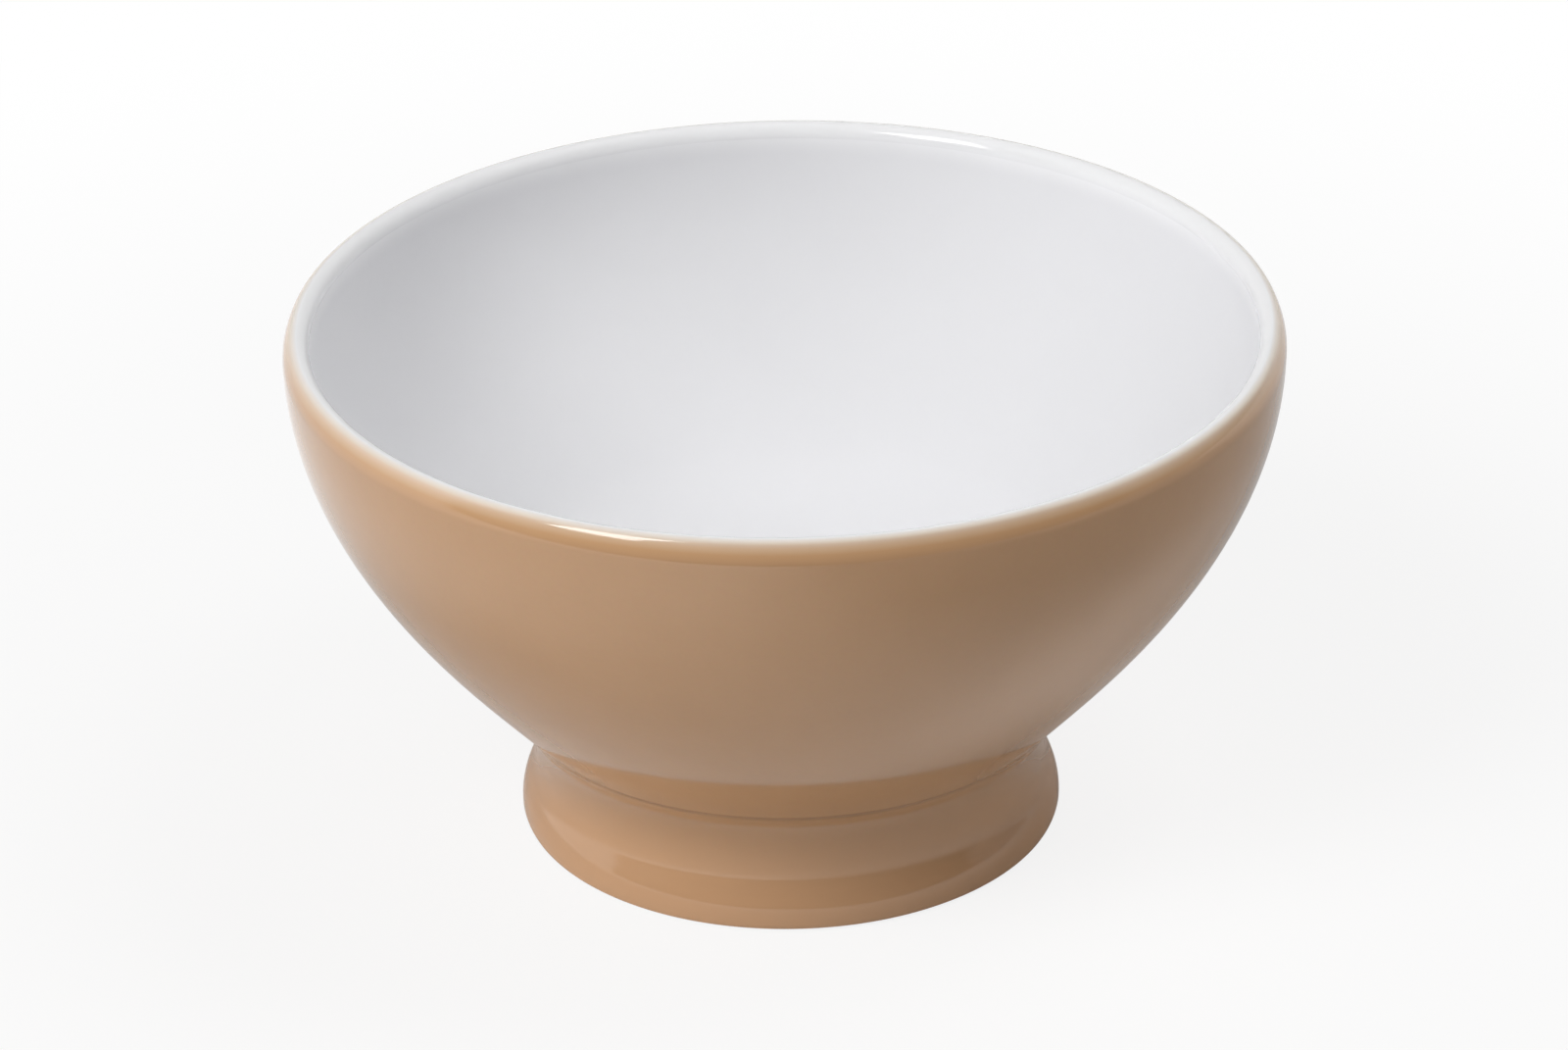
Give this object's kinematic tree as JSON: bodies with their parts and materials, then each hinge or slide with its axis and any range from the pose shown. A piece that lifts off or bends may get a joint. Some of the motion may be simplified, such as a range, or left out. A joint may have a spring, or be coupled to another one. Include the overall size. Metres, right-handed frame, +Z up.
{
  "type": "latte bowl",
  "caption": "Round footed latte bowl with a rolled lip, white glaze inside and tan glaze outside, on a waisted hollow foot with a bare standing ring.",
  "frame": {"origin": "centre of the standing ring, on the table, at the bottom centre of the part's box", "axes": "+Z up along the axis that the bowl was turned about; X and Y are alike"},
  "size_m": [0.14, 0.14, 0.077],
  "materials": {
    "porcelain": "fired, bare and slightly rough",
    "fired_slip": "fired, matte",
    "white_glaze": "glossy white liner glaze",
    "tan_glaze": "glossy opaque tan glaze",
    "clear_glaze": "glossy clear glaze over white porcelain"
  },
  "bodies": {
    "root": {"bowl_body": "porcelain", "foot_ring": "porcelain", "slip_joint": "fired_slip", "liner_glaze": "white_glaze", "outer_glaze": "tan_glaze", "base_glaze": "clear_glaze"}
  },
  "joints": []
}
